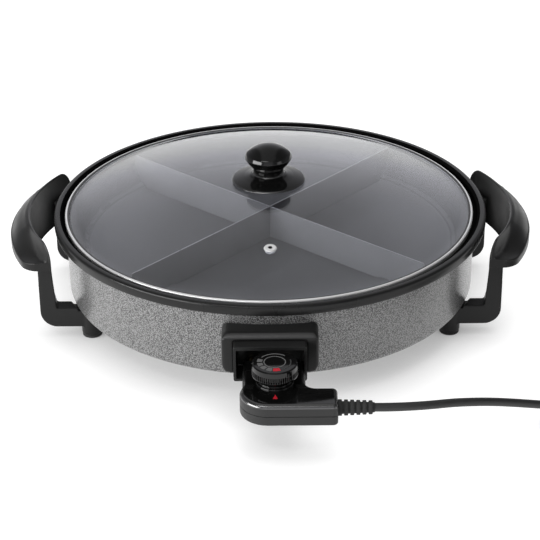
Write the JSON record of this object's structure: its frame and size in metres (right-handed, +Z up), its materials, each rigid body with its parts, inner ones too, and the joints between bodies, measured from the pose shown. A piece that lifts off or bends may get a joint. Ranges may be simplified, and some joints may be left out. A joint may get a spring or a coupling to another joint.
{
  "type": "electric grill pan",
  "caption": "Round electric grill pan in a painted casing with side handles on legs, a domed glass lid, a lift-out cross divider and a pull-out thermostat controller on a mains lead.",
  "frame": {"origin": "on the table under the middle of the box round the object, without its free lead", "axes": "+Z up, -Y towards the user and the controller, +X to the right as the user sees it"},
  "size_m": [0.6442, 0.5, 0.1681],
  "materials": {
    "nonstick_pan": "cast, with a dark non-stick coating",
    "hammered_paint": "grey hammered paint",
    "plain_steel": "plain zinc-plated",
    "bright_steel": "polished",
    "element_sheath": "heat-darkened",
    "bare_aluminium": "as cast",
    "plated_brass": "nickel-plated",
    "ceramic": "ceramic",
    "black_plastic": "satin, finely grained",
    "gloss_black": "glossy",
    "dial_plastic": "satin",
    "black_rubber": "matte",
    "cord_sheath": "smooth sheath",
    "coated_sheet": "dark glossy non-stick coating",
    "clear_glass": "clear toughened glass"
  },
  "bodies": {
    "pan": {"pan_body": "nonstick_pan", "casing": "hammered_paint", "base_plate": "plain_steel", "spacer_tube": "plain_steel", "pan_bolt": "plain_steel", "heating_element": "element_sheath", "sensor_block": "bare_aluminium", "terminal_pins": "plated_brass", "terminal_bushes": "ceramic", "socket_housing": "black_plastic", "socket_collar": "black_plastic", "socket_screws": "plain_steel", "left_grip": "black_plastic", "right_grip": "black_plastic", "left_front_leg": "black_plastic", "left_back_leg": "black_plastic", "right_front_leg": "black_plastic", "right_back_leg": "black_plastic", "foot_pads": "black_rubber", "foot_screws": "plain_steel", "foot_nuts": "plain_steel"},
    "divider": {"divider_panel_a": "coated_sheet", "divider_panel_b": "coated_sheet"},
    "lid": {"lid_glass": "clear_glass", "lid_ring": "bright_steel", "vent_eyelet": "bright_steel", "knob": "gloss_black", "knob_base": "gloss_black", "knob_screw": "plain_steel", "knob_washer": "plain_steel"},
    "controller": {"controller_cover": "gloss_black", "controller_base": "black_plastic", "controller_screws": "plain_steel", "thermostat_block": "ceramic", "probe_rod": "bright_steel", "contact_sleeves": "plated_brass", "strain_relief": "black_rubber", "cord": "cord_sheath", "cord_coil": "cord_sheath", "coil_tie": "black_rubber", "plug_body": "black_rubber", "plug_pins": "plated_brass"},
    "dial": {"dial": "dial_plastic", "dial_shaft": "plain_steel"}
  },
  "joints": [
    {"name": "divider_lift", "type": "slide", "parent": "pan", "child": "divider", "axis": [0, 0, 1], "range_m": [0, 0.08]},
    {"name": "lid_lift", "type": "slide", "parent": "divider", "child": "lid", "axis": [0, 0, 1], "range_m": [0, 0.18]},
    {"name": "controller_pull", "type": "slide", "parent": "pan", "child": "controller", "axis": [0, -1, 0], "range_m": [0, 0.11]},
    {"name": "dial_turn", "type": "hinge", "parent": "controller", "child": "dial", "pos_m": [0.004, -0.2118, 0.065], "axis": [0, 0, 1], "range_deg": [0, 250]}
  ]
}
